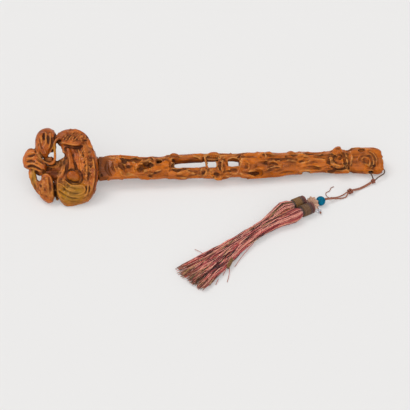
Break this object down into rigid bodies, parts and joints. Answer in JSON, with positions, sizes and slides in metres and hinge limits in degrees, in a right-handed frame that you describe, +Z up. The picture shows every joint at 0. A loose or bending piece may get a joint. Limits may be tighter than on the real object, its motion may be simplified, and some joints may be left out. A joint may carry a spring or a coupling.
{
  "type": "wooden ruyi sceptre",
  "caption": "Carved wooden ruyi sceptre lying on its back: pierced fungus head, gnarled shaft, and a corded pendant with beads and tassels that swings from an eye in the tail.",
  "frame": {"origin": "centre of the wood's box, on the table that the sceptre lies on", "axes": "+X from the head to the tail, +Y away from the side that the pendant lies on, +Z up"},
  "size_m": [0.4003, 0.2215, 0.053],
  "materials": {
    "head_wood": "hand carved, waxed, reddish brown",
    "shaft_wood": "hand carved, waxed, orange brown",
    "peg_wood": "plain turned peg",
    "loop_cord": "twisted silk cord, dark olive brown",
    "strand_cord": "twisted silk cord, faded red",
    "turquoise": "polished blue",
    "disc_wood": "carved, pinkish tan",
    "clear_glass": "polished clear",
    "cap_lining": "dark cloth-covered sleeve",
    "cap_ring": "dark red thread ring",
    "cap_thread": "wound olive-brown thread",
    "tassel_silk": "faded red silk threads"
  },
  "bodies": {
    "sceptre": {"ruyi_head": "head_wood", "shaft": "shaft_wood", "tenon_peg": "peg_wood"},
    "pendant": {"cord_loop": "loop_cord", "upper_knot": "strand_cord", "lower_knot": "strand_cord", "cord_a": "strand_cord", "cord_b": "strand_cord", "loose_thread": "strand_cord", "glass_bead_thread": "strand_cord"},
    "turquoise_bead": {"turquoise_bead": "turquoise"},
    "flower_disc": {"flower_disc": "disc_wood"},
    "glass_bead": {"glass_bead": "clear_glass"},
    "tassel_a": {"cap_sleeve_a": "cap_lining", "cap_ring_a": "cap_ring", "cap_winding_a": "cap_thread", "skirt_a": "tassel_silk"},
    "tassel_b": {"cap_sleeve_b": "cap_lining", "cap_ring_b": "cap_ring", "cap_winding_b": "cap_thread", "skirt_b": "tassel_silk"}
  },
  "joints": [
    {"name": "pendant_swing", "type": "hinge", "parent": "sceptre", "child": "pendant", "pos_m": [0.1924, -0.0108, 0.0054], "axis": [0, 0, 1], "range_deg": [-10, 115]},
    {"name": "turquoise_bead_spin", "type": "hinge", "parent": "pendant", "child": "turquoise_bead", "pos_m": [0.1204, -0.0576, 0.00545], "axis": [-0.8829, -0.4695, 0], "continuous": true},
    {"name": "flower_disc_spin", "type": "hinge", "parent": "pendant", "child": "flower_disc", "pos_m": [0.1102, -0.0641, 0.0082], "axis": [-0.7001, -0.7001, 0.14], "continuous": true},
    {"name": "glass_bead_spin", "type": "hinge", "parent": "pendant", "child": "glass_bead", "pos_m": [0.1169, -0.0705, 0.00265], "axis": [0.2588, -0.9659, 0], "continuous": true},
    {"name": "tassel_a_swing", "type": "hinge", "parent": "pendant", "child": "tassel_a", "pos_m": [0.0999, -0.0588, 0.00685], "axis": [0, 0, 1], "range_deg": [-15, 0]},
    {"name": "tassel_b_swing", "type": "hinge", "parent": "pendant", "child": "tassel_b", "pos_m": [0.1069, -0.0701, 0.00685], "axis": [0, 0, 1], "range_deg": [0, 15]}
  ]
}
